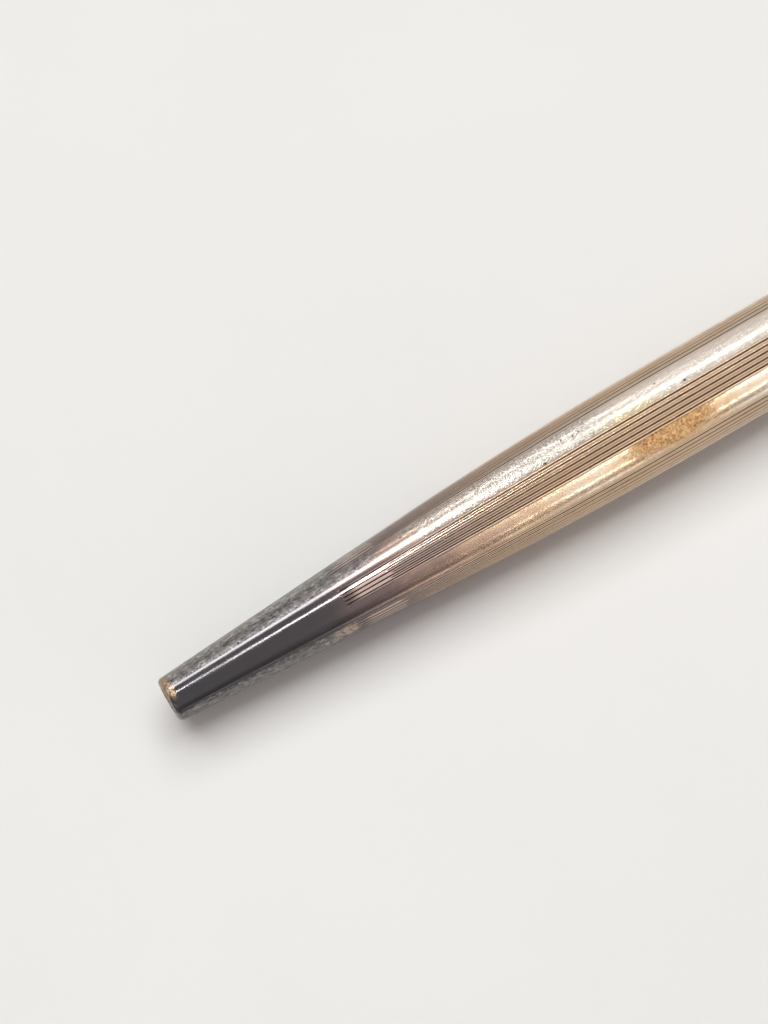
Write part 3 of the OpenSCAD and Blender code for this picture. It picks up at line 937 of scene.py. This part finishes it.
def room():
    """A pale room that shows in glossy surfaces: dim low on its -Y side and past both of its ends."""
    world = bpy.data.worlds.new("room")
    bpy.context.scene.world = world
    world.cycles_visibility.diffuse = False
    world.use_nodes = True
    tree = world.node_tree
    direction = tree.nodes.new("ShaderNodeTexCoord")
    parts = tree.nodes.new("ShaderNodeSeparateXYZ")
    tree.links.new(direction.outputs["Generated"], parts.inputs[0])
    endways = tree.nodes.new("ShaderNodeMath")
    endways.operation = "ABSOLUTE"
    tree.links.new(parts.outputs["X"], endways.inputs[0])
    strength = tree.nodes.new("ShaderNodeMath")
    strength.operation = "MULTIPLY"
    low_side = (parts.outputs["Y"], (-0.97, -0.78, 0.42, 0.93))
    past_ends = (endways.outputs[0], (0.4, 0.75, 1, 0.3))
    for side, (value, limits) in enumerate((low_side, past_ends)):
        level = tree.nodes.new("ShaderNodeMapRange")
        level.interpolation_type = "SMOOTHSTEP"
        tree.links.new(value, level.inputs[0])
        for i, limit in enumerate(limits, start=1):
            level.inputs[i].default_value = limit
        tree.links.new(level.outputs[0], strength.inputs[side])
    background = tree.nodes["Background"]
    background.inputs["Color"].default_value = (1, 0.945, 0.935, 1)
    tree.links.new(strength.outputs[0], background.inputs["Strength"])


def studio():
    """Two large matte lights over the table, and the windows that the plate reflects."""
    room()
    amber, cool, rosy = (1, 0.95, 0.88), (0.975, 1, 0.985), (1, 0.88, 0.87)
    far = 2.5
    softbox("ceiling", side=23, along=4, span=(50, 42), radiance=4.02, colour=cool, matte=True, distance=far)
    softbox("fill", side=-15, along=0, span=(125, 125), radiance=0.45, colour=rosy, matte=True, distance=far)
    softbox("window", side=40.5, along=-5, span=(12, 9.5), radiance=13)
    softbox("window_middle", side=45, along=5.5, span=(9, 20), radiance=0.2)
    softbox("window_edge", side=61, along=4.5, span=(9, 2.6), radiance=10)
    softbox("window_far", side=43.5, along=16.5, span=(14, 5), radiance=5.5)
    softbox("horizon", side=-85, along=4, span=(26, 3.2), radiance=2.2, colour=amber)
    for along in (-55, 55):
        softbox("end_window", side=38, along=along, span=(42, 9), radiance=5)
        softbox("end_low_side", side=-60, along=along, span=(42, 16), radiance=1.6, colour=amber)
    softbox("thin_strip", side=9.5, along=-3, span=(7, 2.4), radiance=52)
    softbox("low_side", side=-57, along=9.5, span=(13, 22), radiance=0.5, colour=amber)
    for side in (-43, -67):
        softbox("low_side_edge", side=side, along=9.5, span=(13, 4), radiance=4.5, colour=amber)


def camera():
    """The photograph's view, from above and a little from the nose's side."""
    azimuth, elevation, lean = (math.radians(a) for a in (-30.75, 78, 0.1))
    target, distance = Vector((25.08 * MM, 4.99 * MM, 0)), 506.1 * MM
    flat = math.cos(elevation)
    back = Vector((math.sin(azimuth) * flat, -math.cos(azimuth) * flat, math.sin(elevation)))
    data = bpy.data.cameras.new("camera")
    data.lens = 200
    data.clip_start, data.clip_end = 0.01, 10
    eye = bpy.data.objects.new("camera", data)
    bpy.context.scene.collection.objects.link(eye)
    eye.location = target + back * distance
    eye.rotation_mode = "QUATERNION"
    level = (-back).to_track_quat("-Z", "Y")
    eye.rotation_quaternion = level @ Quaternion((0, 0, 1), lean)
    bpy.context.scene.camera = eye
    bpy.context.scene.view_settings.view_transform = "Standard"


# ---- Everything together ----

materials = {
    "silver_plate": silver_plate(),
    "brass": turned_metal("brass", (0.72, 0.50, 0.20), (0.48, 0.30, 0.11), 0.24),
    "steel": turned_metal("steel", (0.58, 0.58, 0.59), (0.40, 0.40, 0.41), 0.26),
    "aluminium": turned_metal("aluminium", (0.74, 0.74, 0.75), (0.58, 0.58, 0.60), 0.32),
    "rubber": rubber_material(),
    "eraser": eraser_material(),
    "graphite": lead_material(),
    "nylon": nylon_material(),
}

made = [
    lower_barrel(),
    upper_barrel(),
    centre_ring(),
    crown(),
    push_button(),
    clip(),
    eraser(),
    lead(),
    coil("return_spring_coil", "return_spring", 0.36 * MM, 10, "lower"),
    coil("chuck_spring_coil", "chuck_spring", 0.25 * MM, 6, "cartridge"),
]

slot_of = {part["node"]: part["material_slot"] for part in frame["record"]["subparts"]}
for node_name, cad_object in frame["nodes"].items():
    cad_object.data.materials.clear()
    cad_object.data.materials.append(materials[slot_of[node_name]])
for piece in made:
    piece.data.materials.clear()
    piece.data.materials.append(materials[piece["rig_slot"]])

table()
studio()
camera()
